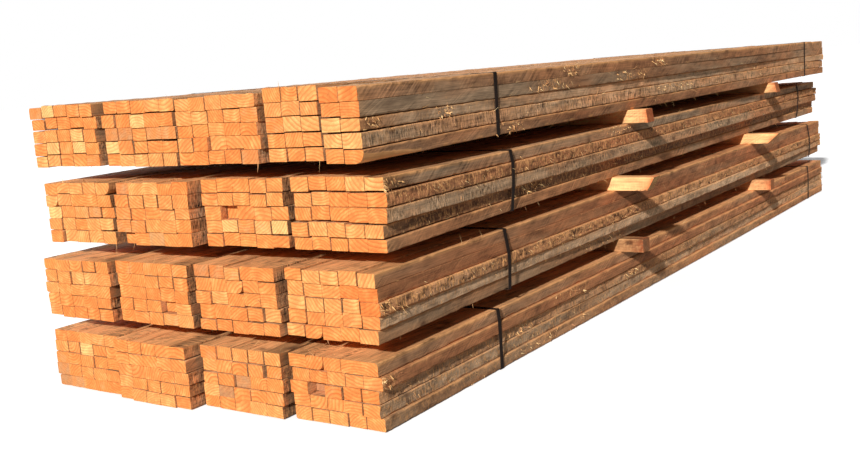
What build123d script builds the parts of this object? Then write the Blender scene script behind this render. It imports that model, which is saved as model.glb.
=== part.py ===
from build123d import *
import os
from math import floor, radians, sin, tan

os.makedirs("parts", exist_ok=True)

# A stack of sawn battens stored flat: four tiers of four strapped bundles, with spacers between the tiers.
# Millimetres. X runs across the stack, Y along the battens from the near ends to the far ends, and Z up.
# The origin is on the floor, under the middle of the box that the whole stack fills.

# Battens. Most are nearly full width and a few are up to the width loss narrower.
batten_width = 50.0
batten_thickness = 30.0
batten_length = 3600.0
batten_gap = 0.3
width_loss = 6.0

# Bundles: battens side by side and on top of each other
columns = 5
rows = 5
bundles = 4
bundle_gap = 13.0

# Straps: one thin band near each end of every bundle, tight round its outermost battens
strap_width = 15.0
strap_thickness = 0.9
strap_clearance = 0.3

# Spacers: two blocks under every tier but the bottom one
spacer_width = 50.0
spacer_height = 40.0
spacer_left_reach = 600.0
seat_clearance = 0.3

# Tiers from the floor up. Sideways and back are shifts of a tier's middle, and yaw turns it about its middle.
tiers = ("bottom", "lower", "upper", "top")
tier_sideways = (0.0, -1.0, -8.0, 10.0)
tier_back = (0.0, 2.0, 28.0, -3.0)
tier_yaw = (-0.29, 0.0, 0.72, -0.44)

# How far each bundle of a tier stands forward of its rightmost one, from left to right
bundle_forward = (
    (40.0, 57.0, 20.0, 0.0),
    (45.0, 27.0, 18.0, 0.0),
    (43.0, 40.0, 5.0, 0.0),
    (19.0, 6.0, 16.0, 0.0),
)

# How far each row of the rightmost bundle stands out to the right, from its lowest row up
right_row_shift = (
    (2.0, 1.0, 1.0, 3.0, 0.0),
    (3.0, 0.0, 7.0, 0.0, 0.0),
    (-5.0, -6.0, 3.0, 5.0, 0.0),
    (-1.0, -1.5, -1.0, -1.0, 0.0),
)

# The other rows and the ends of single battens are uneven by up to these amounts
row_scatter = 4.0
end_scatter = 4.0

# Distance of the straps from the near and from the far end of a tier, from the bottom tier up
strap_from_near = (485.0, 532.0, 535.0, 540.0)
strap_from_far = (253.0, 203.0, 313.0, 312.0)

# Spacers from the lowest gap up: distance from the stack's middle along it, reach to the right of the
# middle at the underside, and how much further the slanted end reaches at the top
spacer_near = (550.0, 578.0, 472.0)
spacer_far = (778.0, 751.0, 960.0)
near_right_reach = (590.0, 622.0, 590.0)
near_slant = (0.0, 23.0, -5.0)
far_right_reach = (588.0, 587.0, 570.0)
far_slant = (0.0, 45.0, -9.0)

# Battens that keep the outside of the log on their lower right arris at the near end, as tier, bundle, row
# and column, each counted from the bottom and from the left
barky = (
    ("top", 4, 1, 5),
    ("upper", 1, 5, 5),
    ("upper", 1, 4, 1),
    ("lower", 3, 4, 3),
    ("lower", 4, 1, 2),
    ("bottom", 4, 5, 2),
    ("bottom", 4, 3, 2),
)
bark_edge = 19.0
bark_run = 260.0
bark_run_out = 0.5
bark_overlap = 0.1

# Battens that were pushed back into their bundle, counted the same way, and how far
pushed_back = {
    ("top", 3, 2, 4): 10.0,
    ("upper", 1, 3, 3): 9.0,
    ("upper", 1, 3, 4): 9.0,
    ("upper", 2, 1, 1): 12.0,
    ("upper", 3, 3, 2): 14.0,
    ("lower", 3, 3, 3): 9.0,
    ("lower", 2, 2, 4): 12.0,
    ("bottom", 3, 5, 4): 8.0,
    ("bottom", 4, 3, 2): 28.0,
}

# Worked out from the sizes above
column_pitch = batten_width + batten_gap
row_pitch = batten_thickness + batten_gap
row_width = columns * column_pitch - batten_gap
bundle_height = rows * row_pitch - batten_gap
bundle_pitch = row_width + bundle_gap
strap_stand_off = strap_clearance + strap_thickness
tier_pitch = bundle_height + spacer_height + 2 * seat_clearance


def scatter(span, *place):
    """An uneven but repeatable amount between minus span and span for one place in the stack."""
    mix = 0.0
    for step, number in enumerate(place):
        mix += (number + 1) * (12.9898 + 65.233 * step)
    wave = sin(mix) * 43758.5453
    return span * (2 * (wave - floor(wave)) - 1)


def underside(tier):
    """Height of the lowest battens of a tier: the bottom tier lies on its own straps."""
    return strap_stand_off + tier * tier_pitch


def row_shift(tier, bundle, row):
    """How far a row of a bundle stands out to the right."""
    if bundle == bundles - 1:
        return right_row_shift[tier][row % len(right_row_shift[tier])]
    return scatter(row_scatter, tier, bundle, row)


def sawn_width(*place):
    """The width that one batten was sawn to."""
    return batten_width - width_loss * abs(scatter(1, *place)) ** 3


def bundle_middle(bundle):
    """Where the middle of a bundle lies across its tier."""
    return (bundle - (bundles - 1) / 2) * bundle_pitch


def batten_middle(tier, bundle, row, column):
    """The middle of a batten in its own tier, whose middle is at zero along and across."""
    across = bundle_middle(bundle) + (column - (columns - 1) / 2) * column_pitch + row_shift(tier, bundle, row)
    along = scatter(end_scatter, tier, bundle, row, column) - bundle_forward[tier][bundle]
    along += pushed_back.get((tiers[tier], bundle + 1, row + 1, column + 1), 0)
    up = row * row_pitch + batten_thickness / 2
    return Vector(across, along, up)


def plane_of_tier(tier, middle=Vector(0, 0, 0)):
    """The plane of a tier's underside, with X across the tier and Y along its battens."""
    origin = Vector(tier_sideways[tier], tier_back[tier], underside(tier)) - middle
    return Plane(origin).rotated((0, 0, tier_yaw[tier]))


def middle_of_stack():
    """The middle of the box round all ends of the battens and spacers, on the floor."""
    reaches = [-spacer_left_reach]
    for reach, slant in zip(near_right_reach + far_right_reach, near_slant + far_slant):
        reaches.append(reach + max(slant, 0))
    ends = []
    for tier in range(len(tiers)):
        plane = plane_of_tier(tier)
        for bundle in range(bundles):
            for row in range(rows):
                for column in range(columns):
                    middle = batten_middle(tier, bundle, row, column)
                    half_width = sawn_width(tier, bundle, row, column) / 2
                    for side in (-1, 1):
                        for end in (-1, 1):
                            corner = middle + Vector(side * half_width, end * batten_length / 2, 0)
                            ends.append(plane.from_local_coords(corner).Y)
    return Vector((min(reaches) + max(reaches)) / 2, (min(ends) + max(ends)) / 2, 0)


stack_middle = middle_of_stack()


def cross_plane(tier, point):
    """A plane square to the battens of a tier, facing the near ends, with X across and Y up."""
    plane = plane_of_tier(tier, stack_middle)
    return Plane(plane.from_local_coords(point), x_dir=plane.x_dir, z_dir=-plane.y_dir)


# Bundles of battens
for tier, tier_name in enumerate(tiers):
    for bundle in range(bundles):
        with BuildPart() as battens:
            for row in range(rows):
                for column in range(columns):
                    middle = batten_middle(tier, bundle, row, column)
                    far_end = middle + Vector(0, batten_length / 2, 0)
                    with BuildSketch(cross_plane(tier, far_end)):
                        Rectangle(sawn_width(tier, bundle, row, column), batten_thickness)
            extrude(amount=batten_length)
            for row in range(rows):
                for column in range(columns):
                    if (tier_name, bundle + 1, row + 1, column + 1) in barky:
                        middle = batten_middle(tier, bundle, row, column)
                        near_end = middle - Vector(0, batten_length / 2 + bark_overlap, 0)
                        side = sawn_width(tier, bundle, row, column) / 2 + bark_overlap
                        arris = Vector(side, -batten_thickness / 2 - bark_overlap)
                        for size, back in ((bark_edge, 0), (bark_run_out, bark_run)):
                            with BuildSketch(cross_plane(tier, near_end + Vector(0, back, 0))):
                                with BuildLine():
                                    Polyline(arris, arris - Vector(size, 0), arris + Vector(0, size), close=True)
                                make_face()
                        loft(mode=Mode.SUBTRACT)
        battens.part.label = f"bundle_{tier_name}_{bundle + 1}"
        export_step(battens.part, f"parts/bundle_{tier_name}_{bundle + 1}.step")

# Straps
for tier, tier_name in enumerate(tiers):
    half_length = batten_length / 2
    strap_places = {"near": strap_from_near[tier] - half_length, "far": half_length - strap_from_far[tier]}
    for bundle in range(bundles):
        for place, along in strap_places.items():
            with BuildPart() as strap:
                with BuildSketch(cross_plane(tier, Vector(0, along, 0))):
                    for row in range(rows):
                        for column in (0, columns - 1):
                            middle = batten_middle(tier, bundle, row, column)
                            with Locations((middle.X, middle.Z)):
                                Rectangle(sawn_width(tier, bundle, row, column), batten_thickness)
                    make_hull()
                    offset(amount=strap_stand_off, kind=Kind.INTERSECTION)
                    offset(amount=-strap_thickness, kind=Kind.INTERSECTION, mode=Mode.SUBTRACT)
                extrude(amount=strap_width / 2, both=True)
            strap.part.label = f"strap_{tier_name}_{bundle + 1}_{place}"
            export_step(strap.part, f"parts/strap_{tier_name}_{bundle + 1}_{place}.step")

# Spacers
for gap in range(len(tiers) - 1):
    floor_of_gap = underside(gap) + bundle_height + seat_clearance
    spacer_places = {
        "near": (-spacer_near[gap], near_right_reach[gap], near_slant[gap]),
        "far": (spacer_far[gap], far_right_reach[gap], far_slant[gap]),
    }
    for place, (along, right_reach, slant) in spacer_places.items():
        origin = Vector(0, along, floor_of_gap) - stack_middle
        with BuildPart() as spacer:
            with BuildSketch(Plane(origin, x_dir=(1, 0, 0), z_dir=(0, -1, 0))):
                with BuildLine():
                    Polyline(
                        (-spacer_left_reach, 0),
                        (right_reach, 0),
                        (right_reach + slant, spacer_height),
                        (-spacer_left_reach, spacer_height),
                        close=True,
                    )
                make_face()
            extrude(amount=spacer_width / 2, both=True)
        spacer.part.label = f"spacer_{tiers[gap + 1]}_{place}"
        export_step(spacer.part, f"parts/spacer_{tiers[gap + 1]}_{place}.step")
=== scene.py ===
from math import pi, radians

import bpy
import numpy as np
from mathutils import Matrix, Vector


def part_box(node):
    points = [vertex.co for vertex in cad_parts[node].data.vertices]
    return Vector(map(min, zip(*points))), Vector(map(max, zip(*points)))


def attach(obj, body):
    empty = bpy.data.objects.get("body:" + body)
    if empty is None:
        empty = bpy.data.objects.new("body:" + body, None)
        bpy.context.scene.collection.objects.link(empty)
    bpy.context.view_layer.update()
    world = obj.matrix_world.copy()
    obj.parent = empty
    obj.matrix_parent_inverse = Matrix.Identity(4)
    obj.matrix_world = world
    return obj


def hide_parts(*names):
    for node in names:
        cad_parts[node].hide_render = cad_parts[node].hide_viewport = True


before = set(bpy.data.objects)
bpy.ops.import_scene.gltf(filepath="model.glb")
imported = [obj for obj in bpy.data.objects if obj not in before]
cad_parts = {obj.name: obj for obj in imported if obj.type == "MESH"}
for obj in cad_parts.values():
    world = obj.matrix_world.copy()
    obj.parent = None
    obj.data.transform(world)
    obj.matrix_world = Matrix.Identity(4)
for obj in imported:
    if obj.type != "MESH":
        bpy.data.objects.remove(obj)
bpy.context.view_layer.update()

# Battens. Softwood sawn to 50 by 30 mm and 3.6 m long, 25 to a bundle, five wide and five high. They come
# rough from the saw, with frayed arrises and open seams, and a few keep the outside of the log on one arris.
# Planks were split into up to four battens, so the rings of neighbours run on.
mm = 0.001
tiers = ("bottom", "lower", "upper", "top")
bundles = (1, 2, 3, 4)
rows = columns = (1, 2, 3, 4, 5)
right_bundle, right_column, top_row = bundles[-1], columns[-1], rows[-1]


def chance(*place):
    """A random generator of its own for one matter and place in the stack, the same in every run."""
    return np.random.default_rng([tiers.index(part) if part in tiers else part for part in place])


def at_right(bundle, column):
    """If a batten lies on the right side of the stack."""
    return (bundle, column) == (right_bundle, right_column)


def edge_ends(mesh):
    """The two points of each edge of a mesh."""
    ends = np.empty(2 * len(mesh.edges), np.int32)
    mesh.edges.foreach_get("vertices", ends)
    return ends.reshape(-1, 2)


def separate_solids(node):
    """The solids of a CAD node, each as an array of its corners."""
    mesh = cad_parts[node].data
    points = np.empty(3 * len(mesh.vertices), np.float32)
    mesh.vertices.foreach_get("co", points)
    points, place = np.unique(points.reshape(-1, 3).round(6), axis=0, return_inverse=True)
    ends = place.ravel()[edge_ends(mesh)]
    solid = np.arange(len(points))
    while True:
        lowest = solid[ends].min(axis=1)
        joined = solid.copy()
        np.minimum.at(joined, ends[:, 0], lowest)
        np.minimum.at(joined, ends[:, 1], lowest)
        if (joined == solid).all():
            return [points[solid == name].astype(float) for name in np.unique(solid)]
        solid = joined


# Each tier lies a little askew, so its battens are measured across, along and up in its own directions.
box_corners = 8
axes = {}
room = {}
waney = {}
strap_at = {}
for tier in tiers:
    for bundle in bundles:
        solids = separate_solids(f"bundle_{tier}_{bundle}")
        if tier not in axes:
            squared = next(corners for corners in solids if len(corners) == box_corners)
            far = squared[:, 1] > squared[:, 1].mean()
            along = (squared[far].mean(axis=0) - squared[~far].mean(axis=0)) * (1, 1, 0)
            along /= np.linalg.norm(along)
            axes[tier] = np.array(((along[1], -along[0], 0), along, (0, 0, 1)))
        turned = [corners @ axes[tier].T for corners in solids]
        turned.sort(key=lambda corners: corners[:, 2].min())
        for row in rows:
            layer = turned[len(columns) * (row - 1):len(columns) * row]
            layer.sort(key=lambda corners: corners[:, 0].max())
            for column, corners in zip(columns, layer):
                low, high = corners.min(axis=0), corners.max(axis=0)
                room[tier, bundle, row, column] = low, high
                if len(corners) > box_corners:
                    near_low = (corners[:, 1] < low[1] + 1 * mm) & (corners[:, 2] < low[2] + 1 * mm)
                    waney[tier, bundle, row, column] = high[0] - corners[near_low, 0].max()
        strap_at[tier, bundle] = {}
        for place in ("near", "far"):
            corners = separate_solids(f"strap_{tier}_{bundle}_{place}")[0] @ axes[tier].T
            strap_at[tier, bundle][place] = corners[:, 1].mean()

# How far the rows of the right side bow out between their straps, splay out beyond the far one and lie
# further in all along, in millimetres, each from the lowest row up
right_rows = {
    "bottom": ((4, 1, 12, 3, 0), (2, 7, 9, 1, 3), (1, 2, 6, 0, 3)),
    "lower": ((-3, 11, 2, -1, 1), (1, 9, 3, 1, 4), (9, 0, 2, 0, 0)),
    "upper": ((-3, 1, 7, 2, 4), (1, 3, 8, 9, 2), (1, 2, 0, 0, 1)),
    "top": ((0, 0.5, 0, 8, 8.5), (3, 2, 9, 4, 1), (0, 0, 1, 0, 0)),
}
# Rows of the right side that lie close under the next one, with hardly a seam
closed_above = {("top", 4), ("lower", 4)}

# How far the columns of one bundle have moved up and to the right at their near ends, in millimetres
column_rises = {("top", 4): (1.5, 1.5, 1.5, -4.5, -5.5)}
column_shifts = {("top", 4): (0, 0, 0, 4.5, 5)}

# How far the rows of some bundles spread up or down at the near end, where the strap lets go, in millimetres
near_spreads = {
    ("top", 4): (0, 1.2, 3.8, 5.5, 6),
    ("top", 1): (0, 0.3, 0.9, 1.5, 1.6),
    ("top", 2): (-2, -1, 0, 0, 2),
    ("upper", 4): (-4, -2.5, 1, 1.5, 5),
    ("upper", 3): (-2, 0, 0, 1, 2.5),
    ("lower", 3): (-3, -1, 0, 0, 1),
    ("lower", 4): (-1, 0, 0, 0, 1),
}

# What the other rows and columns do by chance
bow_reach = 2.2 * mm
second_bow = 0.6
splay_reach = 1.5 * mm
step_reach = 1.6 * mm
end_curve = 1.4


def stray(tier, bundle, row, column, along):
    """How far a batten has moved sideways and up at places along it: nowhere at its two straps."""
    near, far = strap_at[tier, bundle].values()
    low, high = room[tier, bundle, row, column]
    between = np.clip((along - near) / (far - near), 0, 1)
    nearer = np.clip((near - along) / (near - low[1]), 0, 1) ** end_curve
    farther = np.clip((along - far) / (high[1] - far), 0, 1) ** end_curve
    first, second, near_splay, far_splay = chance(1, tier, bundle, row).uniform(-1, 1, 4)
    bow, far_reach, setback = bow_reach * first, splay_reach * far_splay, 0
    if bundle == right_bundle:
        bow, far_reach, setback = (values[row - 1] * mm for values in right_rows[tier])
    sideways = bow * np.sin(pi * between) + second_bow * bow_reach * second * np.sin(2 * pi * between)
    sideways += splay_reach * near_splay * nearer + far_reach * farther
    near_step, far_step = chance(2, tier, bundle, column).uniform(-1, 1, 2)
    if tier == "bottom":
        near_step, far_step = abs(near_step), abs(far_step)
    near_rise = step_reach * near_step
    if (tier, bundle) in column_rises:
        near_rise = column_rises[tier, bundle][column - 1] * mm
        sideways += column_shifts[tier, bundle][column - 1] * mm * nearer
    if (tier, bundle) in near_spreads:
        near_rise += near_spreads[tier, bundle][row - 1] * mm
    return sideways - setback, near_rise * nearer + step_reach * far_step * farther


# A frayed arris is rounded outwards by this share of what is off it
arris_bulge = 0.2


def together(*values):
    """Values side by side at each point."""
    return np.stack(np.broadcast_arrays(*values), axis=-1)


def sections(half, arris, inner, turn):
    """Sections round a bar, station by station, from its half width and height and its four cut-off arrises.

    The arrises start at the lower right and run to the left over the top, inner points lie on the faces
    between them, and turn points on each arris.
    """
    share = np.linspace(0, 1, turn)
    bulge = arris_bulge * np.sin(pi * share)
    rounds = []
    for corner, (side, level) in enumerate(((1, -1), (1, 1), (-1, 1), (-1, -1))):
        first, second = (1 - share, share) if corner % 2 == 0 else (share, 1 - share)
        cut = arris[:, corner, None]
        x = side * (half[:, 0, None] - cut * (first - bulge))
        z = level * (half[:, 1, None] - cut * (second - bulge))
        rounds.append(together(x, z))
    pieces = []
    for corner in range(4):
        start = rounds[corner][:, -1:]
        end = rounds[(corner + 1) % 4][:, :1]
        part = (np.arange(inner[corner]) + 1) / (inner[corner] + 1)
        pieces += [rounds[corner], start + (end - start) * part[None, :, None]]
    return np.concatenate(pieces, axis=1)


def section_marks(inner, turn):
    """Of each point of a section: its arris and face, or -1, how far it is on an arris, if it is sharp."""
    corner_of, face_of, worn, sharp = [], [], [], []
    for corner in range(4):
        corner_of += [corner] * turn + [-1] * inner[corner]
        face_of += [-1] * turn + [corner] * inner[corner]
        worn += list(np.sin(pi * np.linspace(0, 1, turn))) + [0] * inner[corner]
        sharp += [True] + [False] * (turn - 2) + [True] + [False] * inner[corner]
    return np.array(corner_of), np.array(face_of), np.array(worn), np.array(sharp)


def smooth_noise(generator, count, width, spread):
    """A row of random values, each smoothed over its neighbours, with about the given spread."""
    rough = generator.normal(0, 1, (count + 2 * spread, width))
    kernel = np.hanning(2 * spread + 3)[1:-1]
    kernel /= np.sqrt((kernel ** 2).sum())
    return np.stack([np.convolve(rough[:, k], kernel, "valid") for k in range(width)], axis=1)[:count]


def graded(start, end, near_step, far_step):
    """Places from start to end, close together at the start and farther apart towards the end."""
    places = [start]
    while places[-1] < end:
        share = (places[-1] - start) / (end - start)
        places.append(places[-1] + near_step + (far_step - near_step) * share)
    places = np.array(places)
    return start + (places - start) * (end - start) / (places[-1] - start)


# How far apart the sections of a batten that shows lie at its far end
wide_step = 22 * mm


def stations(tier, bundle, row, column, start):
    """Where the sections of a batten lie, and how many points its right, top, left and bottom face have."""
    end = room[tier, bundle, row, column][1][1]
    highest = row == top_row
    if at_right(bundle, column):
        return graded(start, end, 8 * mm, wide_step), (3, 2 if highest else 0, 0, 0)
    if bundle == 1 and column == 1:
        return graded(start, end, 16 * mm, wide_step), (0, 2 if highest else 0, 3, 0)
    if tier == "top" and highest:
        return graded(start, end, 12 * mm, wide_step), (0, 3, 0, 0)
    near_places = np.array((0, 4, 12, 30, 60, 110, 180, 260)) * mm
    if highest or (tier, bundle, row, column) in waney:
        near_places = np.concatenate((np.arange(0, 260, 14), (260, 300, 400))) * mm
    middle = np.linspace(start + 0.5, end - 0.35, 12)
    far_places = np.array((250, 130, 50, 14, 4, 0)) * mm
    return np.concatenate((start + near_places, middle, end - far_places)), (0, 0, 0, 0)


# How each row of the right side looks, from its lowest row up: tone, redness, greyness, upright saw marks,
# slanting saw marks and torn fibre. The tone also holds painted shade on rows that lie in the shadow of the
# row above, and painted light on rows that stand out.
right_looks = {
    "bottom": (
        (0.95, 0.4, 0.3, 0.1, 0.5, 0.4),
        (1.05, 0.1, 0.8, 0.4, 0.3, 0.5),
        (1.1, 0.1, 0.7, 0.3, 0.3, 0.6),
        (0.85, 0.9, 0.0, 0.1, 0.6, 0.1),
        (0.9, 0.7, 0.1, 0.0, 0.8, 0.1),
    ),
    "lower": (
        (0.8, 0.3, 0.4, 0.1, 0.5, 0.1),
        (1.2, 0.0, 0.8, 0.3, 0.6, 0.3),
        (1.05, 0.4, 0.3, 0.5, 0.1, 1.0),
        (0.78, 0.9, 0.1, 0.0, 0.6, 0.1),
        (0.86, 0.8, 0.1, 0.0, 0.6, 0.0),
    ),
    "upper": (
        (0.86, 0.4, 0.4, 0.1, 1.0, 0.1),
        (0.6, 0.7, 0.3, 0.1, 0.6, 0.5),
        (1.02, 0.4, 0.5, 1.0, 0.0, 0.2),
        (0.86, 0.8, 0.1, 0.7, 0.1, 0.8),
        (0.84, 0.1, 0.9, 0.1, 0.9, 0.0),
    ),
    "top": (
        (0.81, 0.8, 0.2, 0.1, 0.9, 0.1),
        (1.12, 0.2, 0.7, 1.0, 0.0, 0.3),
        (1.06, 0.1, 0.8, 0.1, 0.5, 0.2),
        (0.9, 0.3, 0.8, 0.0, 0.8, 0.0),
        (0.9, 0.3, 0.7, 0.0, 1.0, 0.1),
    ),
}

# Near ends that stand out, by tier and bundle and then by row and column: paleness, redness and stain. The
# stain is partly painted shade, on ends that lie pushed back among their neighbours.
end_looks = {
    ("bottom", 1): {
        (1, 1): (0.2, 0.2, 0.9),
        (1, 2): (0.3, 0.2, 0.7),
        (2, 1): (0.2, 0.2, 0.8),
        (4, 3): (0.9, 0, 0),
    },
    ("bottom", 3): {(2, 2): (0.2, 0.1, 1.0), (3, 3): (0.2, 0.1, 0.9)},
    ("bottom", 4): {(3, 2): (0, 0.6, 1.2)},
    ("lower", 4): {(1, 5): (0.4, 0.3, 0), (3, 5): (0, 1.0, 0), (4, 4): (0, 0.9, 0), (4, 5): (0, 0.9, 0)},
    ("upper", 1): {
        (2, 2): (0.3, 0.3, 0),
        (3, 1): (1.0, 0, 0),
        (3, 3): (0.3, 0.2, 0.4),
        (3, 4): (0.3, 0.2, 0.6),
    },
    ("upper", 2): {(1, 3): (0.5, 0.1, 0.7)},
    ("upper", 3): {(2, 2): (0.7, 0, 0), (2, 4): (0.6, 0, 0.4), (2, 5): (0.9, 0, 0)},
    ("top", 1): {(2, 2): (0.8, 0, 0), (2, 4): (0.9, 0, 0), (3, 4): (0.6, 0, 0), (5, 2): (0.9, 0, 0)},
    ("top", 2): {(2, 1): (1.0, 0, 0), (4, 3): (0.8, 0, 0)},
    ("top", 4): {
        (2, 4): (0.5, 0, 0),
        (2, 5): (0.6, 0, 0),
        (3, 4): (0.7, 0.1, 0),
        (4, 4): (0.2, 0.7, 0),
        (4, 5): (0.2, 0.7, 0),
        (5, 4): (0.1, 0.8, 0),
        (5, 5): (0.1, 0.8, 0),
    },
}
# How wide the planks of a row were before they were split, in battens from left to right
splits = ((2, 3), (3, 2), (1, 2, 2), (2, 1, 2), (2, 2, 1), (1, 3, 1), (1, 4), (1, 1, 3))
# Battens further back than this were pushed in
pushed_back = 8 * mm


def planks(tier, bundle, row):
    """For each column, what its plank gave it: the pith, the width of the rings, the looks, where it starts,
    and if it is joined to its left and right neighbour."""
    cut = chance(3, tier, bundle, row)
    found = []
    for width in splits[cut.integers(len(splits))]:
        first = room[tier, bundle, row, len(found) + 1]
        last = room[tier, bundle, row, len(found) + width]
        middle = (first[0] + last[1]) / 2
        reach = cut.uniform(15, 110) * cut.choice((-1, 1)) * mm
        pith = np.array((middle[0] + cut.uniform(-50, 50) * mm, 0, middle[2] + reach))
        ring_width, look = cut.uniform(0.75, 1.35), cut.uniform(0, 1, 5)
        starts = [room[tier, bundle, row, len(found) + step + 1][0][1] for step in range(width)]
        flush = np.median(starts)
        for step, start in enumerate(starts):
            if abs(start - flush) < pushed_back:
                start = flush + cut.normal(0, 0.2) * mm
            found.append((pith, ring_width, look, start, (step > 0, step < width - 1)))
    return found


# The saw breaks the rim of each end over this width
rim_width = 0.2 * mm


def sawn_bar(own, points, hearts, side_look, finish, edge, end_looks, sharp, turned):
    """A bar from its sections, with two sawn ends and broken rims: its points, faces, looks and creases."""
    count, round_count = points.shape[:2]
    index = np.arange(count * round_count).reshape(count, round_count)
    after = np.roll(index, -1, axis=1)
    faces = together(index[:-1], index[1:], after[1:], after[:-1]).reshape(-1, 4).tolist()
    side_faces = len(faces)
    parts = [points]
    kept = (hearts, side_look, finish, edge)
    looks = [[np.broadcast_to(values, points.shape).reshape(-1, 3) for values in kept]]
    for end, way in ((0, -1), (-1, 1)):
        rim = points[end].copy()
        centre = rim.mean(axis=0)
        cap = centre + (rim - centre) * (1 - rim_width / np.abs(rim - centre)[:, [0, 2]].max(axis=0).min())
        cap[:, 1] = rim[:, 1]
        rim[:, 1] -= way * (0.1 + 0.5 * own.normal(0, 1, round_count) ** 2) * mm
        points[end, :, 1] = rim[:, 1]
        outer = np.arange(round_count) + sum(part.size // 3 for part in parts)
        inside = outer + round_count
        band = [outer, np.roll(outer, -1), np.roll(inside, -1), inside]
        faces += together(*band[::-way]).tolist()
        faces.append(inside[::-way].tolist())
        parts += [rim, cap]
        for worn in (own.uniform(0, 1, round_count), np.zeros(round_count)):
            look = np.broadcast_to(end_looks[end], rim.shape)
            looks.append([hearts[end], look, np.zeros_like(rim), together(worn, 0, 0)])
    points = np.concatenate([part.reshape(-1, 3) for part in parts]) @ turned
    values = [np.concatenate(parts) for parts in zip(*looks)]
    sharp = np.concatenate((np.tile(sharp, count), np.zeros(4 * round_count, bool)))
    ring = np.concatenate((np.tile(np.arange(round_count), count), -1 - np.arange(4 * round_count)))
    return points, faces, side_faces, values, sharp, ring


# Torn places of the right side, by tier and row: their distance from the near end, length and strength
torn_places = {
    ("bottom", 1): [(0.7, 0.2, 0.6)],
    ("bottom", 3): [(0.62, 0.05, 0.8), (1.3, 0.05, 0.8)],
    ("bottom", 4): [(0.02, 0.04, 0.7), (0.9, 0.1, 0.6)],
    ("lower", 1): [(1.1, 0.2, 0.5)],
    ("lower", 3): [(0.02, 0.05, 1.0)],
    ("upper", 2): [(0.66, 0.08, 0.8), (1.3, 0.1, 0.5)],
    ("upper", 5): [(0.0, 0.05, 0.7), (1.2, 0.1, 0.5)],
    ("top", 1): [(0.62, 0.05, 0.5)],
    ("top", 2): [(1.7, 0.2, 0.6)],
    ("top", 3): [(0.05, 0.03, 0.9), (0.32, 0.03, 0.5), (2.6, 0.1, 0.5)],
    ("top", 4): [(0.83, 0.08, 0.8), (1.35, 0.12, 0.7)],
    ("top", 5): [(0.93, 0.05, 0.6), (1.55, 0.08, 0.7)],
}
# Darker places of the right side, in the same way, and lighter ones with a depth below nought. The darker
# ones are partly barky wood and partly painted shade under rows that stand out; the lighter ones are partly
# paler wood and partly painted light on rows that stand out.
barky_and_shaded_places = {
    ("bottom", 1): [(0.2, 0.1, 0.3), (1.2, 0.1, 0.3)],
    ("bottom", 2): [(3.2, 0.6, -0.25), (1.6, 0.9, -0.18), (0.9, 0.2, 0.3)],
    ("bottom", 3): [(1.9, 0.6, 0.15), (0.35, 0.08, 0.35)],
    ("bottom", 4): [(2.4, 0.4, -0.15)],
    ("lower", 1): [(2.0, 0.8, 0.3)],
    ("lower", 2): [(2.0, 1.0, -0.26)],
    ("lower", 3): [(0.5, 0.12, 0.25)],
    ("lower", 4): [(3.2, 0.6, -0.2), (1.6, 0.8, 0.16)],
    ("lower", 5): [(1.8, 0.8, 0.14)],
    ("upper", 2): [(0.2, 0.1, 0.45), (0.62, 0.12, 0.5), (1.5, 0.4, 0.3)],
    ("upper", 3): [(1.8, 0.9, -0.22)],
    ("upper", 4): [(3.2, 0.4, -0.2), (1.4, 0.7, -0.14), (1.7, 0.15, 0.2)],
    ("upper", 5): [(1.6, 0.9, -0.16), (0.02, 0.06, 0.5)],
    ("top", 1): [(1.5, 0.8, 0.24), (0.95, 0.1, 0.25), (3.3, 0.4, -0.2)],
    ("top", 2): [(1.6, 0.9, -0.24)],
    ("top", 3): [(0.03, 0.05, 0.45), (1.3, 0.8, -0.26), (3.3, 0.5, -0.35)],
    ("top", 4): [(2.6, 0.3, 0.25), (1.4, 0.9, 0.26)],
    ("top", 5): [(2.1, 0.25, 0.25), (1.5, 0.9, 0.22)],
}


def seam(tier, bundle, row, column):
    """How much higher than its even place the seam above a row lies: the battens aren't equally thick."""
    if row in (0, top_row):
        return 0
    rise, slope = chance(5, tier, bundle, row).uniform(-1, 1, 2)
    step = chance(6, tier, bundle, row, column).uniform(-1, 1)
    return (1.4 * rise + 0.6 * slope * (column - 3) + 1.4 * step) * mm


def swell(along, middle, length):
    """One at a place along a batten, and less and less away from it."""
    return np.exp(-((along - middle) / length) ** 2)


# Battens of one plank reach into the cut between them, and hardly show a seam
joint_reach = 0.06 * mm
joint_arris = 0.05 * mm
# The arrises at a closed seam, how far a strap holds the faces down beside it, and how far from square the
# ends are, over which length
closed_arris = 0.3 * mm
strap_hold = 20 * mm
end_skew = 0.012
skew_length = 30 * mm


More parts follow.
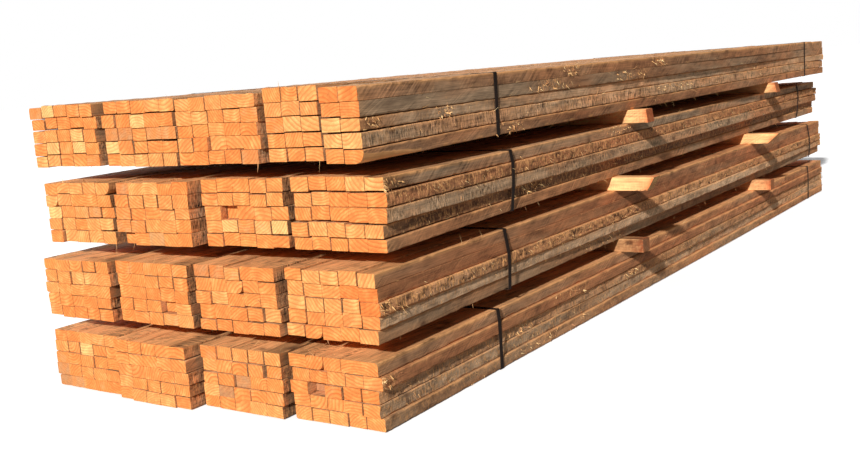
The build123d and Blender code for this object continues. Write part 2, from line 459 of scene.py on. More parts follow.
def batten(tier, bundle, row, column, plank):
    """One batten in its place in the stack."""
    batten_at = tier, bundle, row, column
    own = chance(4, *batten_at)
    low, high = room[batten_at]
    near, far = strap_at[tier, bundle].values()
    pith, ring_width, look, start, joined = plank
    places, inner = stations(*batten_at, start)
    count = len(places)
    right = at_right(bundle, column)
    shown = max(inner) > 0
    wane = waney.get(batten_at, 0)
    turn = 6 if wane else 3
    corner_of, face_of, worn, sharp = section_marks(inner, turn)

    # The sawn size, with seams that open and close
    loss = np.array((own.uniform(0, 0.2), own.uniform(0.1, 1.35) ** 3)) * mm
    under, over = seam(tier, bundle, row - 1, column), seam(tier, bundle, row, column)
    size = (high - low)[[0, 2]] + np.array((0, over - under)) - loss
    half = size / 2 - np.abs(smooth_noise(own, count, 2, 3)) * 0.12 * mm
    half[:, 0] += joint_reach * sum(joined)

    # Arrises: frayed, close where the plank was only split, open under a row that stands further out
    ragged = np.abs(smooth_noise(own, count, 4, 1)) ** 3 * (0.5 if shown else 0.2)
    arris = (own.uniform(1.2, 1.9) if shown else 0.12) * mm + np.clip(ragged, 0, 2.6) * mm
    for side, corners in zip(joined, ((2, 3), (0, 1))):
        if side and not wane:
            arris[:, corners] = joint_arris
    if right:
        bows = (*right_rows[tier][0], 0)
        overhang = np.clip(bows[row - 1] - bows[row], 0, 8)
        arris[:, 1] += (own.uniform(0.3, 1.2) + 0.2 * overhang) * mm
        if (tier, row) in closed_above:
            arris[:, 1] = closed_arris
        if (tier, row - 1) in closed_above:
            arris[:, 0] = closed_arris
    chips = np.clip(own.exponential(0.45, 4) ** 2.5, 0, 5) * mm
    arris[0] += chips
    arris[1] += 0.4 * chips
    if wane:
        run = np.clip(1 - (places - low[1]) / (own.uniform(200, 250) * mm), 0, 1)
        arris[:, 0] += wane * run ** 0.8 * (1 + 0.06 * smooth_noise(own, count, 1, 2)[:, 0])
    shape = sections(half, arris, inner, turn)

    # What the saw and the weather left on the faces, with painted shade on faces that lie in shadow and
    # painted light on rows that stand out
    if right:
        tone, red, grey, upright, slanting, torn = right_looks[tier][row - 1]
    else:
        tone, red, grey = 0.9 + 0.2 * look[0], look[1] * 0.6, look[2] * (0.8 if tier == "top" else 0.5)
        upright, slanting = own.choice((0, 0, 1)) * look[3], own.uniform(0, 1)
        torn = own.uniform(0, 1) ** 3 * 0.7
        # The right column of the other bundles faces a narrow gap: its tone is made darker by a random share,
        # as painted shade.
        if column == right_column:
            tone *= 0.5 + 0.45 * look[3]
            upright = max(upright, float(look[4] > 0.4))
    torn = np.full(count, torn)
    tone = tone * np.linspace(0.96, 1.1, count)
    grey = grey * np.linspace(1.05, 0.7, count)
    if right:
        for distance, length, strength in torn_places.get((tier, row), ()):
            torn = np.maximum(torn, strength * swell(places - start, distance, length))
        # Darker and lighter stretches: partly the wood's own tone, partly painted shade and painted light.
        for distance, length, depth in barky_and_shaded_places.get((tier, row), ()):
            share = depth * swell(places - start, distance, length)
            tone *= 1 - share
            grey = grey * (1 - 1.5 * share)
            red = red + 0.5 * share
    clear_of_straps = np.minimum(np.abs(places - near), np.abs(places - far)) / strap_hold
    unevenness = (0.1 + 0.18 * upright + 1.2 * torn[:, None]) * mm * np.clip(clear_of_straps, 0, 1)[:, None]
    relief = smooth_noise(own, count, shape.shape[1], 1) * unevenness
    for face, direction in enumerate(((1, 0), (0, 1), (-1, 0), (0, -1))):
        on_face = face_of == face
        shape[:, on_face] += relief[:, on_face, None] * np.array(direction)

    # Its place, and ends that aren't quite square
    sideways, upward = stray(*batten_at, places)
    aside = joint_reach * (joined[1] - joined[0])
    middle = (low + high) / 2 + np.array((aside, 0, (under + over) / 2 + own.uniform(-0.5, 0.5) * loss[1]))
    x = middle[0] + shape[:, :, 0]
    z = middle[2] + shape[:, :, 1]
    if tier == "bottom":
        z = np.maximum(z, low[2])
    y = np.broadcast_to(places[:, None], x.shape).copy()
    for end in (0, -1):
        near_end = np.clip(1 - np.abs(places - places[end]) / skew_length, 0, 1)[:, None]
        y += near_end * (shape @ own.normal(0, end_skew, 2))
    hearts = together((x - pith[0]) * ring_width, y, (z - pith[2]) * ring_width)
    points = together(x + sideways[:, None], y, z + upward[:, None])

    # What its paint needs to know at each point
    side_look = together(tone, red, grey)[:, None]
    finish = together(upright, slanting, torn)[:, None]
    bark = np.clip(arris[:, :1] / (4 * mm) - 0.5, 0, 1) * ((corner_of == 0) & (wane > 0))
    # Paler wood: a little by the near end, and a painted highlight along the far end. On the top faces it is
    # partly fresh wood and partly painted light from above: strong by the near ends of the lower tiers, and
    # even over the top tier.
    fresh_and_lit = np.exp(-(places - places[0]) / 0.03) * 0.35
    fresh_and_lit = np.maximum(fresh_and_lit, np.exp(-(places[-1] - places) / (18 * mm)))[:, None]
    if row == top_row:
        on_top = (face_of == 1) | (corner_of == 1) | (corner_of == 2)
        clean_and_lit = 0.55 + 0.45 * swell(places, places[0], 0.25) if tier != "top" else np.full(count, 0.35)
        fresh_and_lit = np.maximum(fresh_and_lit, clean_and_lit[:, None] * on_top)
    # A pale line along the arrises, weaker on all but the upper one: frayed fresh wood, and on the upper
    # arris also a painted highlight where light catches the edge. None under a closed seam.
    upper_highlight = 0 if bundle == right_bundle and (tier, row) in closed_above else 0.4
    worn = np.where(corner_of == 1, np.maximum(worn, upper_highlight * shown), 0.4 * worn)
    edge = together(worn, bark, fresh_and_lit)
    ends = {}
    for end in (0, -1):
        ends[end] = np.clip(look[2:5] ** (3, 1.5, 5) * (0.5, 0.6, 0.6) + own.normal(0, 0.05, 3), 0, 1)
    ends[0] = end_looks.get((tier, bundle), {}).get((row, column), ends[0])
    return sawn_bar(own, points, hearts, side_look, finish, edge, ends, sharp, axes[tier])


def kept_mesh(name, points, faces, materials, kept):
    """A mesh of points and faces, with vectors that are kept at its points under their labels."""
    mesh = bpy.data.meshes.new(name)
    mesh.from_pydata(np.array(points).tolist(), [], faces)
    for material in materials:
        mesh.materials.append(material)
    for label, vectors in kept.items():
        layer = mesh.attributes.new(label, "FLOAT_VECTOR", "POINT")
        layer.data.foreach_set("vector", np.ravel(vectors).astype(np.float32))
    return mesh


def placed(name, data):
    """An object of the scene that shows a mesh, a lamp or a camera."""
    made = bpy.data.objects.new(name, data)
    bpy.context.scene.collection.objects.link(made)
    return made


def wooden_object(name, bars, materials):
    """One object from several bars, with the looks of the wood kept at its points."""
    points, _, _, values, sharp, ring = zip(*bars)
    faces, materials_of = [], []
    base = 0
    for bar_points, bar_faces, side_faces, *_ in bars:
        faces += [[corner + base for corner in face] for face in bar_faces]
        materials_of += [0] * side_faces + [1] * (len(bar_faces) - side_faces)
        base += len(bar_points)
    labels = ("heart", "mood", "finish", "edge")
    kept = {label: np.concatenate(parts) for label, parts in zip(labels, zip(*values))}
    mesh = kept_mesh(name, np.concatenate(points), faces, materials, kept)
    mesh.polygons.foreach_set("material_index", materials_of)
    mesh.polygons.foreach_set("use_smooth", [kind == 0 for kind in materials_of])
    ends = edge_ends(mesh)
    ring, sharp = np.concatenate(ring), np.concatenate(sharp)
    crease = (ring[ends[:, 0]] == ring[ends[:, 1]]) & sharp[ends[:, 0]]
    mesh.attributes.new("sharp_edge", "BOOLEAN", "EDGE").data.foreach_set("value", crease)
    return placed(name, mesh)


def tint(*colour):
    """A colour as a screen shows it, from 0 to 255, in the linear values that a shader takes."""
    parts = [part / 255 for part in colour]
    return (*[part / 12.92 if part < 0.04045 else ((part + 0.055) / 1.055) ** 2.4 for part in parts], 1.0)


class Wire:
    """A socket of a material that is reckoned with like a number or a vector."""

    def __init__(self, paint, socket):
        self.paint = paint
        self.socket = socket

    def reckon(self, operation, first, second):
        kinds = [value.socket.type for value in (first, second) if isinstance(value, Wire)]
        kind = "ShaderNodeVectorMath" if "VECTOR" in kinds else "ShaderNodeMath"
        return self.paint.node(kind, {"operation": operation}, {0: first, 1: second})

    def __add__(self, other):
        return self.reckon("ADD", self, other)

    def __sub__(self, other):
        return self.reckon("SUBTRACT", self, other)

    def __mul__(self, other):
        return self.reckon("MULTIPLY", self, other)

    def __pow__(self, other):
        return self.reckon("POWER", self, other)

    def __rsub__(self, other):
        return self.reckon("SUBTRACT", other, self)

    __radd__ = __add__
    __rmul__ = __mul__


class Paint:
    """The nodes of one material, or of the sky. Each is added with its settings first, then its sockets."""

    def __init__(self, owner, shader="Principled BSDF"):
        owner.use_nodes = True
        self.owner = owner
        self.tree = owner.node_tree
        self.shader = self.tree.nodes[shader]

    def node(self, kind, settings, sockets, output=0):
        node = self.tree.nodes.new(kind)
        for setting, value in settings.items():
            setattr(node, setting, value)
        for socket, value in sockets.items():
            self.feed(node.inputs[socket], value)
        return Wire(self, node.outputs[output])

    def feed(self, socket, value):
        if isinstance(value, Wire):
            self.tree.links.new(value.socket, socket)
        elif socket.type == "VECTOR" and isinstance(value, (int, float)):
            socket.default_value = (value, value, value)
        else:
            socket.default_value = value

    def kept(self, label):
        """A vector that the mesh keeps at its points."""
        return self.node("ShaderNodeAttribute", {"attribute_name": label}, {}, "Vector")

    def split(self, vector):
        first = self.node("ShaderNodeSeparateXYZ", {}, {0: vector})
        return [Wire(self, socket) for socket in first.socket.node.outputs]

    def join(self, x, y, z):
        return self.node("ShaderNodeCombineXYZ", {}, {0: x, 1: y, 2: z})

    def noise(self, where, detail=2.0, roughness=0.5):
        sockets = {"Vector": where, "Scale": 1.0, "Detail": detail, "Roughness": roughness}
        return self.node("ShaderNodeTexNoise", {}, sockets)

    def band(self, value, low, high):
        """Nought below low, one above high, and in between evenly."""
        sockets = {"Value": value, "From Min": low, "From Max": high}
        return self.node("ShaderNodeMapRange", {"clamp": True}, sockets)

    def mix(self, share, first, second):
        return self.node("ShaderNodeMix", {"data_type": "RGBA"}, {0: share, 6: first, 7: second}, 2)

    def shade(self, colour, value):
        """A colour made lighter or darker."""
        settings = {"data_type": "RGBA", "blend_type": "MULTIPLY"}
        return self.node("ShaderNodeMix", settings, {0: 1.0, 6: colour, 7: self.join(value, value, value)}, 2)

    def rings(self, heart, sway, uneven, number):
        """The growth rings at a point, from nought to one across each ring."""
        wander = (self.noise(heart * sway, 2.0) - 0.5) * uneven
        radius = self.node("ShaderNodeVectorMath", {"operation": "LENGTH"}, {0: heart * (1, 0, 1)}, "Value")
        count = (radius + wander) * number
        strength = self.noise(self.join(count * 0.4, 0.0, 0.0), 1.0)
        return self.node("ShaderNodeMath", {"operation": "FRACT"}, {0: count}), self.band(strength, 0.3, 0.65)

    def relief(self, height, strength, distance):
        """The way a surface faces where a height raises it."""
        return self.node("ShaderNodeBump", {}, {"Strength": strength, "Distance": distance, "Height": height})

    def surface(self, sockets):
        """Feeds the shader and gives back what it paints."""
        for socket, value in sockets.items():
            self.feed(self.shader.inputs[socket], value)
        return self.owner


def sawn_sides(name, brown, grey, red, fresh_and_lit, dark):
    """Rough sawn sides that have weathered, with painted highlights on the upper arrises, on saw-mark crests
    and at torn tufts, and painted shade in torn hollows and in the furrows of the saw marks.
    """
    paint = Paint(bpy.data.materials.new(name))
    heart = paint.kept("heart")
    x, y, z = paint.split(heart)
    tone, redness, greyness = paint.split(paint.kept("mood"))
    upright, slanting, torn = paint.split(paint.kept("finish"))
    arris, bark, fresh_and_lit_share = paint.split(paint.kept("edge"))
    ring, ring_strength = paint.rings(heart, (8, 1.2, 8), 0.02, 200)
    fibre = paint.noise(heart * (520, 12, 520))
    upright_marks = paint.band(paint.noise(heart * (32, 230, 50), 3.5, 0.65), 0.38, 0.62)
    kept_upright = upright * paint.band(paint.noise(heart * (30, 15, 30) + 4.0, 2.0), 0.3, 0.6)
    slope = paint.join(x * 12, (y - z * 1.7 - x * 1.7) * 100, z * 12)
    slanting_marks = paint.band(paint.noise(slope, 3.0, 0.65), 0.36, 0.64)
    kept_marks = paint.band(paint.noise(heart * (24, 10, 24) + 9.0, 2.0), 0.36, 0.6)
    patches = paint.band(paint.noise(heart * (9, 2.2, 9), 3.0), 0.36, 0.66)
    spots = paint.noise(heart * (60, 14, 60), 4.0)
    tufts = paint.band(paint.noise(heart * (70, 130, 70), 3.5, 0.65), 0.5, 0.6)
    shaded_hollows = paint.band(paint.noise(heart * (44, 22, 44), 3.0), 0.52, 0.66)

    knot_way = paint.node("ShaderNodeTexVoronoi", {}, {"Vector": heart * (8, 8, 8), "Scale": 1.0}, "Distance")
    knot = 1 - paint.band(knot_way + (spots - 0.5) * 0.1, 0.04, 0.1)
    knot_rim = 1 - paint.band(knot_way + (spots - 0.5) * 0.2, 0.08, 0.2)

    colour = paint.mix(paint.band(greyness + (patches - 0.5) * 0.9, 0.1, 1.0), brown, grey)
    colour = paint.mix(paint.band(redness + (0.5 - patches) * 0.7, 0.1, 1.3), colour, red)
    # Paler where the mesh marks fresh wood; on the top faces and along the far ends this is partly painted
    # light.
    colour = paint.mix(fresh_and_lit_share * (0.6 + 0.4 * fibre), colour, fresh_and_lit)
    # The saw marks lighten and darken the colour: partly the marks' own tone, partly painted light and shade
    # on their ridges and furrows.
    light = 1 + kept_upright * (upright_marks - 0.55) * 1.3
    light = light + slanting * kept_marks * (slanting_marks - 0.5) * 0.8
    light = light + (fibre - 0.5) * 1.1 + (spots - 0.5) * 1.1 - ring ** 3 * ring_strength * 0.3
    light = light + (paint.noise(heart * (20, 3.1, 20) + 5.0, 3.0) - 0.5) * 0.95
    colour = paint.shade(colour, light * tone)
    stain = paint.band(paint.noise(heart * (16, 6, 16) + 21.0, 4.0, 0.6), 0.56, 0.7)
    colour = paint.mix(stain * (0.45 - 0.35 * fresh_and_lit_share), colour, dark)
    # At torn places the hollows are darkened as painted shade, and the tufts are pale: fresh torn wood with
    # painted highlights on their tips.
    colour = paint.mix(torn * shaded_hollows * 0.95, colour, dark)
    colour = paint.mix(torn * tufts, colour, fresh_and_lit)
    colour = paint.mix(knot_rim * 0.35, colour, dark)
    colour = paint.mix(knot * 0.5, colour, dark)
    # The crests of the upright saw marks are pale: torn-up fibre with a painted highlight.
    lit_saw_crests = kept_upright * paint.band(upright_marks, 0.75, 1.0) * paint.band(spots, 0.5, 0.6)
    colour = paint.mix(lit_saw_crests * 0.6, colour, fresh_and_lit)
    # Pale arrises: frayed fresh wood, and on the upper arris also a painted highlight.
    colour = paint.mix(arris * paint.band(spots, 0.3, 0.55) * 0.75, colour, fresh_and_lit)
    colour = paint.mix(bark * 0.85, colour, paint.shade(fresh_and_lit, 0.75 + 0.5 * fibre))
    height = kept_upright * upright_marks * 1.6 + slanting * kept_marks * slanting_marks * 0.6
    height = height + torn * (tufts * 1.6 - shaded_hollows * 1.4)
    return paint.surface({
        "Base Color": colour,
        "Roughness": 0.75 + 0.2 * spots,
        "Specular IOR Level": 0.25,
        "Normal": paint.relief(height + fibre * 0.5 + spots * 0.7 - knot_rim * 0.4, 0.7, 0.8 * mm),
    })


def sawn_ends(name, plain, pale, red, line, stained_and_shaded):
    """Freshly cut ends with their rings."""
    paint = Paint(bpy.data.materials.new(name))
    heart = paint.kept("heart")
    x, y, z = paint.split(heart)
    paleness, redness, stain = paint.split(paint.kept("mood"))
    rim = paint.split(paint.kept("edge"))[0]
    ring, ring_strength = paint.rings(heart, (26, 3, 26), 0.011, 125)
    late = paint.band(ring, 0.35, 0.9) * (1 - paint.band(ring, 0.9, 1.0)) * (0.4 + 0.6 * ring_strength)
    blotches = paint.noise(heart * (38, 4, 38), 3.0)
    mottling = paint.noise(heart * (120, 6, 120) + 3.0, 3.0)
    fleck = paint.noise(heart * (700, 20, 700))
    saw = paint.noise(paint.join((x + z * 0.7) * 60, y, (z - x * 0.7) * 900), 1.0)
    colour = paint.mix(paleness + paint.band(blotches, 0.52, 0.72) * 0.3, plain, pale)
    colour = paint.mix(redness * 0.7 + (0.5 - blotches) * 0.8, colour, red)
    shown_rings = late * (0.88 - 0.3 * paleness) * paint.band(mottling + blotches, 0.45, 0.95)
    colour = paint.mix(shown_rings, colour, line)
    # Stained ends; the stain is partly painted shade on ends that lie pushed back.
    colour = paint.mix(paint.band(stain + (blotches - 0.5) * 1.2, 0.35, 1.1) * 0.8, colour, stained_and_shaded)
    light = 1.02 + (blotches - 0.5) * 0.5 + (mottling - 0.5) * 0.7
    light = light + (fleck - 0.5) * 0.5 + (saw - 0.5) * 0.4 - rim * 0.25
    return paint.surface({
        "Base Color": paint.shade(colour, light),
        "Roughness": 0.7 + 0.25 * fleck,
        "Specular IOR Level": 0.2,
        "Normal": paint.relief(fleck * 0.5 + saw * 0.5 - late * 0.5 + blotches * 0.6, 0.45, 0.6 * mm),
    })


batten_sides = sawn_sides(
    "batten_sides",
    brown=tint(214, 156, 108),
    grey=tint(200, 164, 128),
    red=tint(210, 133, 87),
    fresh_and_lit=tint(253, 184, 118),
    dark=tint(92, 58, 38),
)
batten_ends = sawn_ends(
    "batten_ends",
    plain=tint(236, 151, 80),
    pale=tint(247, 194, 122),
    red=tint(230, 124, 60),
    line=tint(206, 99, 44),
    stained_and_shaded=tint(172, 128, 92),
)
for tier in tiers:
    for bundle in bundles:
        bars = []
        for row in rows:
            for column, plank in zip(columns, planks(tier, bundle, row)):
                bars.append(batten(tier, bundle, row, column, plank))
        stacked = wooden_object(f"battens_{tier}_{bundle}", bars, (batten_sides, batten_ends))
        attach(stacked, "root")
        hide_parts(f"bundle_{tier}_{bundle}")

# Straps. Black steel bands 15 mm wide and not quite 1 mm thick, drawn tight round every bundle near its two
# ends, so that they bend close round the outermost battens. The lowest tier rests on its own straps.
band_width = 15 * mm
band_clearance = 0.3 * mm
band_thickness = 0.9 * mm
band_edge = 0.2 * mm
bend_points = 5


def wrapped(points):
    """The corners of a tight line round some points, counterclockwise."""
    points = sorted(map(tuple, points))
    line = []
    for run in (points, points[::-1]):
        side = []
        for point in run:
            while len(side) > 1:
                (x1, z1), (x2, z2) = side[-2:]
                if (x2 - x1) * (point[1] - z1) - (z2 - z1) * (point[0] - x1) > 0:
                    break
                side.pop()
            side.append(point)
        line += side[:-1]
    return np.array(line)


def band(tier, bundle, place):
    """A band round a bundle: its points, its faces, and how far each point lies round and across the band."""
    outermost = []
    for row in rows:
        for column in (1, right_column):
            low, high = room[tier, bundle, row, column]
            outermost += [(x, z) for x in (low[0], high[0]) for z in (low[2], high[2])]
    line = wrapped(outermost)
    ahead = np.roll(line, -1, axis=0) - line
    angle = np.arctan2(-ahead[:, 0], ahead[:, 1])
    half = band_width / 2
    inner, outer = band_clearance, band_clearance + band_thickness
    profile = (
        (-half, inner + band_edge),
        (-half, outer - band_edge),
        (-half + band_edge, outer),
        (half - band_edge, outer),
        (half, outer - band_edge),
        (half, inner + band_edge),
        (half - band_edge, inner),
        (-half + band_edge, inner),
    )
    points, lies = [], []
    way_round = 0
    for corner in range(len(line)):
        before = angle[corner - 1]
        bend = (angle[corner] - before + pi) % (2 * pi) - pi
        for share in np.linspace(0, 1, bend_points):
            out = np.array((np.cos(before + bend * share), np.sin(before + bend * share)))
            for across, rise in profile:
                x, z = line[corner] + out * rise
                points.append((x, strap_at[tier, bundle][place] + across, z))
                lies.append((way_round + share * bend * outer, across, (rise - inner) / band_thickness))
        way_round += np.linalg.norm(ahead[corner])
    count = len(points) // len(profile)
    index = np.arange(len(points)).reshape(count, len(profile))
    beside, after = np.roll(index, -1, axis=1), np.roll(index, -1, axis=0)
    faces = together(index, beside, np.roll(beside, -1, axis=0), after).reshape(-1, 4)
    return np.array(points) @ axes[tier], faces.tolist(), lies


def enamelled_steel(name, black, dust, bare):
    """Black enamel on steel band, rubbed at its edges and a little dusty."""
    paint = Paint(bpy.data.materials.new(name))
    round_band, across, height = paint.split(paint.kept("lie"))
    where = paint.join(round_band, across, height * mm)
    cloud = paint.noise(where * (25, 60, 25), 3.0)
    scratch = paint.noise(where * (30, 900, 30), 2.0)
    rubbed = paint.band(across * across * (1 / (0.5 * band_width) ** 2) + (cloud - 0.5) * 0.8, 0.85, 1.15)
    colour = paint.mix(paint.band(cloud, 0.45, 0.8) * 0.5, black, dust)
    colour = paint.mix(rubbed * 0.5, colour, bare)
    colour = paint.mix(paint.band(scratch, 0.62, 0.72) * 0.35, colour, bare)
    return paint.surface({
        "Base Color": colour,
        "Roughness": 0.42 + 0.3 * cloud,
        "Specular IOR Level": 0.25,
        "Normal": paint.relief(scratch * 0.3 + cloud * 0.3, 0.3, 0.2 * mm),
    })


strap_enamel = enamelled_steel(
    "strap_enamel",
    black=tint(38, 24, 16),
    dust=tint(72, 48, 32),
    bare=tint(104, 76, 56),
)
for tier in tiers:
    for bundle in bundles:
        for place in ("near", "far"):
            points, faces, lies = band(tier, bundle, place)
            name = f"strap_{tier}_{bundle}_{place}"
            mesh = kept_mesh(f"band_{name}", points, faces, [strap_enamel], {"lie": lies})
            strap = placed(f"band_{name}", mesh)
            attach(strap, "root")
            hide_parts(name)

# Spacers. Offcuts of the same softwood, 50 mm wide and 40 mm high, laid crosswise under each tier but the
# lowest. They are cut off a little outside the stack, one pair at a slant, and their right ends are redder.
crosswise = np.array(((0, -1, 0), (1, 0, 0), (0, 0, 1)))
# The tone, redness and greyness of their sides, and the paleness, redness and stain of their ends; the ends'
# redness and stain are partly painted shade.
spacer_looks = {
    "spacer_lower_near": ((0.5, 0.6, 0.1), (0.1, 0.3, 1.0)),
    "spacer_lower_far": ((1.0, 0.5, 0.1), (0.2, 0.6, 0.7)),
    "spacer_upper_near": ((1.25, 0.0, 0.1), (0.7, 0.2, 0.1)),
    "spacer_upper_far": ((1.25, 0.0, 0.0), (0.7, 0.1, 0.1)),
    "spacer_top_near": ((1.28, 0.0, 0.0), (0.1, 1.0, 0.4)),
    "spacer_top_far": ((1.2, 0.0, 0.0), (0.1, 1.0, 0.3)),
}
# The slot in the near side of one spacer, and which of the points round it lie in the slot
slotted = "spacer_lower_near"
slot_from_end = 46 * mm
slot_half_width = 9 * mm
slot_depth = 7 * mm
side_points = (9, 2, 2, 2)
slot_points = slice(8, 11)
# How far from the right end a spacer is cut at a slant and has reddened, and how far apart along the log the
# spacers were cut
slant_reach = 80 * mm
red_reach = 25 * mm
cut_apart = 3


def spacer_block(name, number):
    """One spacer: its right end is its far one, because it lies crosswise."""
    own = chance(7, number)
    corners = separate_solids(name)[0] @ crosswise.T
    low, high = corners.min(axis=0), corners.max(axis=0)
    lower_half = corners[:, 2] < (low[2] + high[2]) / 2
    foot, head = corners[lower_half, 1].max(), corners[~lower_half, 1].max()
    places = low[1] + high[1] - graded(low[1], high[1], 6 * mm, 40 * mm)[::-1]
    count = len(places)
    face_of, worn, sharp = section_marks(side_points, 3)[1:]
    half = (high - low)[[0, 2]] / 2 - np.abs(smooth_noise(own, count, 2, 3)) * 0.2 * mm
    arris = (0.8 + np.clip(np.abs(smooth_noise(own, count, 4, 1)) ** 3 * 0.6, 0, 3)) * mm
    shape = sections(half, arris, side_points, 3)
    shape += smooth_noise(own, count, shape.shape[1], 1)[:, :, None] * (face_of >= 0)[:, None] * (-0.15 * mm)
    slot = np.zeros((count, 1))
    if name == slotted:
        slot[:, 0] = np.clip(1.6 - np.abs(high[1] - slot_from_end - places) / slot_half_width, 0, 1)
    shape[:, slot_points, 0] -= slot_depth * slot
    x = (low[0] + high[0]) / 2 + shape[:, :, 0]
    z = (low[2] + high[2]) / 2 + shape[:, :, 1]
    slant = foot + (head - foot) * (z - low[2]) / (high[2] - low[2]) - high[1]
    y = places[:, None] + slant * np.clip(1 - (high[1] - places) / slant_reach, 0, 1)[:, None]
    pith = np.array((own.uniform(-60, 60), own.uniform(-60, 60))) * mm
    hearts = together(x - x.mean() + pith[0], y + cut_apart * number, z - z.mean() + pith[1])
    (tone, red, grey), end_look = spacer_looks[name]
    finish = (own.uniform(0, 0.3), own.uniform(0.2, 0.6), 0.15)
    red_end = np.broadcast_to(np.exp(-(high[1] - places[:, None]) / red_reach), x.shape)
    edge = together(worn, 0, 0.55 - 0.5 * red_end)
    looks = together(tone, red + red_end, grey)
    # Inside the slot the tone is darkened as painted shade.
    looks[:, slot_points, 0] *= 1 - 0.85 * slot
    ends = {0: end_look, -1: end_look}
    return sawn_bar(own, together(x, y, z), hearts, looks, finish, edge, ends, sharp, crosswise)


spacer_sides = sawn_sides(
    "spacer_sides",
    brown=tint(226, 164, 106),
    grey=tint(186, 150, 116),
    red=tint(208, 104, 56),
    fresh_and_lit=tint(246, 196, 134),
    dark=tint(122, 72, 42),
)
spacer_ends = sawn_ends(
    "spacer_ends",
    plain=tint(226, 146, 88),
    pale=tint(244, 196, 130),
    red=tint(186, 92, 54),
    line=tint(160, 84, 46),
    stained_and_shaded=tint(142, 98, 70),
)
for number, name in enumerate(spacer_looks):
    block = wooden_object(f"block_{name}", [spacer_block(name, number)], (spacer_sides, spacer_ends))
    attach(block, "root")
    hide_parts(name)

# Loose fibres. Strands of wood that the saw tore up and left standing: on the rough rows, along the arrises,
# under the tiers and on the ends. They are a few centimetres long and thinner than a match.
strand_rings = (0.0, 0.35, 0.7, 1.0)
strand_corners = 3


def strands(own, feet, ways, lengths, thickness):
    """Tapered, bent strands that stand on their feet: their points and faces."""
    count = len(feet)
    ways = ways / np.linalg.norm(ways, axis=1)[:, None]
    across = np.cross(ways, own.normal(0, 1, (count, 3)))
    across /= np.linalg.norm(across, axis=1)[:, None]
    over = np.cross(ways, across)
    curl = across * own.normal(0, 0.15, (count, 1))
    rings = []
    for share in strand_rings:
        middle = feet + (ways * share + curl * share ** 2) * lengths[:, None]
        width = (thickness * (1 - 0.85 * share))[:, None]
        for corner in range(strand_corners):
            turn = 2 * pi * corner / strand_corners
            rings.append(middle + width * (across * np.cos(turn) + 0.45 * over * np.sin(turn)))
    points = np.stack(rings, axis=1).reshape(-1, 3)
    faces = []
    for base in range(0, count * len(rings), len(rings)):
        for ring in range(base, base + len(rings) - strand_corners, strand_corners):
            for corner in range(strand_corners):
                first, second = ring + corner, ring + (corner + 1) % strand_corners
                faces.append([first, second, second + strand_corners, first + strand_corners])
        tip = base + len(rings) - strand_corners
        faces += [[base + 2, base + 1, base], [tip, tip + 1, tip + 2]]
    return points, faces


# Long splinters on the near ends and under the tiers: their bundle and row, how far across the bundle and up
# the row they start, the way they point, and their length
splinters = {
    "bottom": (
        (1, 5, 0.4, 1.0, (0.5, -0.2, 0.7), 20),
        (4, 5, 0.3, 1.0, (-0.4, -0.3, 0.6), 24),
    ),
    "lower": (
        (4, 1, 0.4, 0.0, (0.2, -0.3, -0.8), 20),
        (2, 5, 0.55, 1.0, (0.5, -0.2, 0.6), 26),
        (3, 3, 0.8, 0.5, (-0.5, -0.3, 0.3), 24),
    ),
    "upper": (
        (1, 3, 0.5, 0.1, (0.75, -0.15, 0.6), 62),
        (1, 3, 0.7, 0.2, (0.4, -0.2, 0.7), 30),
        (1, 1, 0.97, 0.0, (0.15, -0.3, -0.9), 34),
        (2, 1, 0.1, 0.0, (0.1, -0.3, -0.9), 26),
        (1, 5, 0.62, 1.0, (0.1, -0.1, 0.9), 22),
        (1, 5, 0.3, 1.0, (0.3, -0.1, 0.8), 16),
    ),
    "top": (
        (4, 1, 0.55, 0.0, (0.1, -0.3, -0.8), 20),
        (4, 5, 0.2, 1.0, (0.1, -0.2, 0.9), 16),
        (3, 1, 0.98, 0.0, (0.2, -0.3, -0.7), 24),
    ),
}
# How many strands stand along an arris, at a torn place and under the right side of a tier
arris_strands, torn_strands, lowest_strands = 26, 26, 22


def right_face(tier, row, along):
    """How far out the right face of a tier's row lies at places along it."""
    batten_at = tier, right_bundle, row, right_column
    return room[batten_at][1][0] + stray(*batten_at, along)[0] - 0.6 * mm


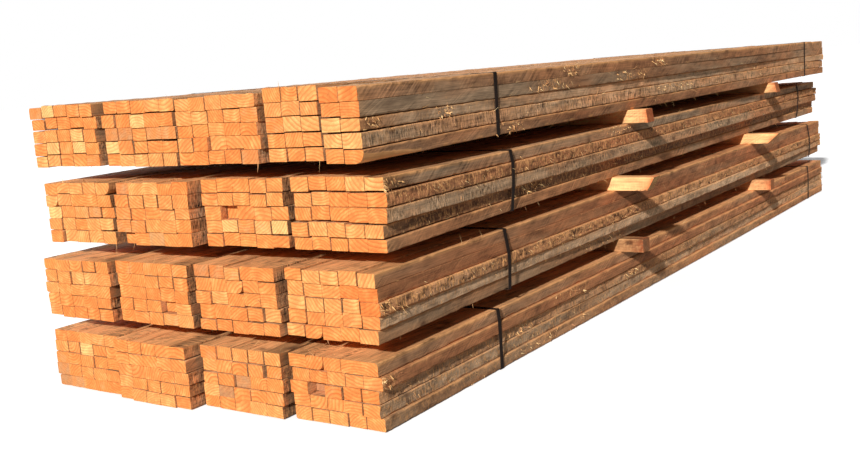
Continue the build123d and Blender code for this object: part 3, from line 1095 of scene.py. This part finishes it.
def fibres(tier):
    """The feet, directions, lengths and thicknesses of the loose fibres of a tier."""
    own = chance(8, tier)
    feet, ways, lengths, widths = [], [], [], []

    def add(x, y, z, way, spread, length, width):
        """Strands at some places: their way and how much it varies, their length and width in millimetres."""
        feet.append(together(x, y, z))
        number = len(feet[-1])
        ways.append(np.array(way) + own.normal(0, spread, (number, 3)))
        lengths.append(length * own.uniform(0.5, 1.3, number) * mm)
        widths.append(width * own.uniform(0.6, 1.3, number) * mm)

    # On rough rows, along the arrises and at torn places of the right side
    for row in rows:
        low, high = room[tier, right_bundle, row, right_column]
        inside = low[2] + 2 * mm, high[2] - 2 * mm
        number = int(12 + 520 * max(right_looks[tier][row - 1][5] - 0.15, 0))
        y = own.uniform(low[1] + 0.02, high[1] - 0.02, number)
        z = own.uniform(*inside, number)
        add(right_face(tier, row, y), y, z, (0.28, 0.2, -0.75), 0.45, 11, 0.55)
        y = own.uniform(low[1], high[1], arris_strands)
        add(right_face(tier, row, y), y, high[2] - 0.5 * mm, (0.15, 0.0, 0.1), (0.1, 1, 0.15), 24, 0.4)
        for distance, length, strength in torn_places.get((tier, row), ()):
            y = np.maximum(own.normal(distance, length * 0.6, torn_strands), 2 * mm) + low[1]
            z = own.uniform(*inside, torn_strands)
            add(right_face(tier, row, y), y, z, (0.2, 0.5, -0.6), 0.55, 14 * strength, 2.3)

    # Under the tier, but not where it lies on the floor
    if tier != "bottom":
        low, high = room[tier, right_bundle, 1, right_column]
        y = own.uniform(low[1] + 0.05, high[1], lowest_strands)
        add(right_face(tier, 1, y) - 2 * mm, y, low[2] + 1 * mm, (0.1, 0.1, -1), 0.4, 16, 0.6)
        for bundle in bundles:
            left, right = room[tier, bundle, 1, 1][0], room[tier, bundle, 1, right_column][1]
            x = own.uniform(left[0], right[0], 4)
            y = left[1] + own.uniform(6, 30, 4) * mm
            add(x, y, left[2] + 1 * mm, (0, -0.4, -1), 0.4, 9, 0.6)

    # On its top: all over the highest tier, and by the near ends of the others
    number, reach = (40, 3.5) if tier == "top" else (5, 0.06)
    for bundle in bundles:
        left, right = room[tier, bundle, top_row, 1][0], room[tier, bundle, top_row, right_column][1]
        x = own.uniform(left[0], right[0], number)
        y = left[1] + own.uniform(0.01, reach, number)
        add(x, y, right[2] - 0.5 * mm, (0.1, 0.3, 0.35), (0.5, 0.8, 0.15), 13, 0.5)
    for bundle, row, across, level, way, length in splinters[tier]:
        batten_at = tier, bundle, row, min(int(across * len(columns)), len(columns) - 1) + 1
        low, high = room[batten_at]
        left, right = room[tier, bundle, row, 1][0][0], room[tier, bundle, row, right_column][1][0]
        rise = stray(*batten_at, np.array((low[1],)))[1]
        z = low[2] + level * (high[2] - low[2]) + rise
        add(left + across * (right - left), low[1] + 1 * mm, z, way, 0.02, length, 1.3)
    return own, *map(np.concatenate, (feet, ways, lengths, widths))


def torn_fibre(name, pale, orange, brown):
    """Torn wood, from pale yellow to brown from strand to strand."""
    paint = Paint(bpy.data.materials.new(name))
    kind, along, fleck = paint.split(paint.kept("strand"))
    colour = paint.mix(paint.band(kind, 0.0, 0.5), pale, orange)
    colour = paint.mix(paint.band(kind, 0.55, 1.0), colour, brown)
    grain = paint.noise(paint.join(kind * 50, along * 9, fleck * 4), 2.0)
    return paint.surface({
        "Base Color": paint.shade(colour, 0.8 + 0.4 * grain),
        "Roughness": 0.6 + 0.3 * grain,
    })


fibre_paint = torn_fibre(
    "loose_fibre",
    pale=tint(255, 222, 160),
    orange=tint(248, 190, 122),
    brown=tint(196, 138, 94),
)
for tier in tiers:
    own, feet, ways, lengths, thickness = fibres(tier)
    points, faces = strands(own, feet, ways, lengths, thickness)
    points[:, 2] = np.maximum(points[:, 2], 0.5 * mm)
    per_strand = len(strand_rings) * strand_corners
    kind = np.repeat(own.uniform(0, 1, len(feet)), per_strand)
    along = np.tile(np.repeat(strand_rings, strand_corners), len(feet))
    strand = together(kind, along, np.tile(np.arange(per_strand), len(feet)))
    mesh = kept_mesh(f"fibres_{tier}", points @ axes[tier], faces, [fibre_paint], {"strand": strand})
    loose = placed(f"fibres_{tier}", mesh)
    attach(loose, "root")

# Studio. A white floor that keeps the stack's shadow, one low lamp in front of the near ends, a weak broad
# one behind the stack, and an even pale sky. The camera sees the sky as white.
floor_paint = Paint(bpy.data.materials.new("studio_floor"))
seen = floor_paint.node("ShaderNodeLightPath", {}, {}, "Is Camera Ray")
floor_paint.surface({
    "Base Color": floor_paint.mix(seen, (0.4, 0.4, 0.4, 1), (1.5, 1.5, 1.5, 1)),
    "Roughness": 1.0,
    "Specular IOR Level": 0.0,
})
reach = 60
corners = [(-reach, -reach, 0), (reach, -reach, 0), (reach, reach, 0), (-reach, reach, 0)]
floor = placed("studio_floor", kept_mesh("studio_floor", corners, [(0, 1, 2, 3)], [floor_paint.owner], {}))

sky_paint = Paint(bpy.data.worlds.new("studio_sky"), "Background")
seen = sky_paint.node("ShaderNodeLightPath", {}, {}, "Is Camera Ray")
sky_light = 0.11
sky_paint.surface({"Color": (1, 1, 1, 1), "Strength": sky_light + (1 - sky_light) * seen})
bpy.context.scene.world = sky_paint.owner

for name, energy, spread, way in (
    ("front_lamp", 4.25, 2, (0.2, -0.88, 0.43)),
    ("back_lamp", 1.0, 40, (-0.6, 0.72, 0.35)),
):
    lamp = bpy.data.lights.new(name, "SUN")
    lamp.energy = energy
    lamp.angle = radians(spread)
    placed(name, lamp).rotation_euler = Vector(way).to_track_quat("Z", "Y").to_euler()

# Camera. It stands to the right of the near ends, about as high as the top of the stack, and is held a little
# askew. Its place along the stack is measured from the lowest near spacer.
camera = bpy.data.cameras.new("camera")
camera.sensor_width = 36.0
camera.lens = 43.26
view = placed("camera", camera)
heading, downward, askew = 34.70, 9.32, -4.51
turn = (
    Matrix.Rotation(radians(heading), 4, "Z")
    @ Matrix.Rotation(radians(90 - downward), 4, "X")
    @ Matrix.Rotation(radians(askew), 4, "Z")
)
near_spacer = sum(corner.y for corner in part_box("spacer_lower_near")) / 2
aside, in_front, height = 1.7799, 2.8922, 0.7550
view.matrix_world = Matrix.Translation((aside, near_spacer - in_front, height)) @ turn
bpy.context.scene.camera = view
bpy.context.scene.view_settings.view_transform = "Standard"
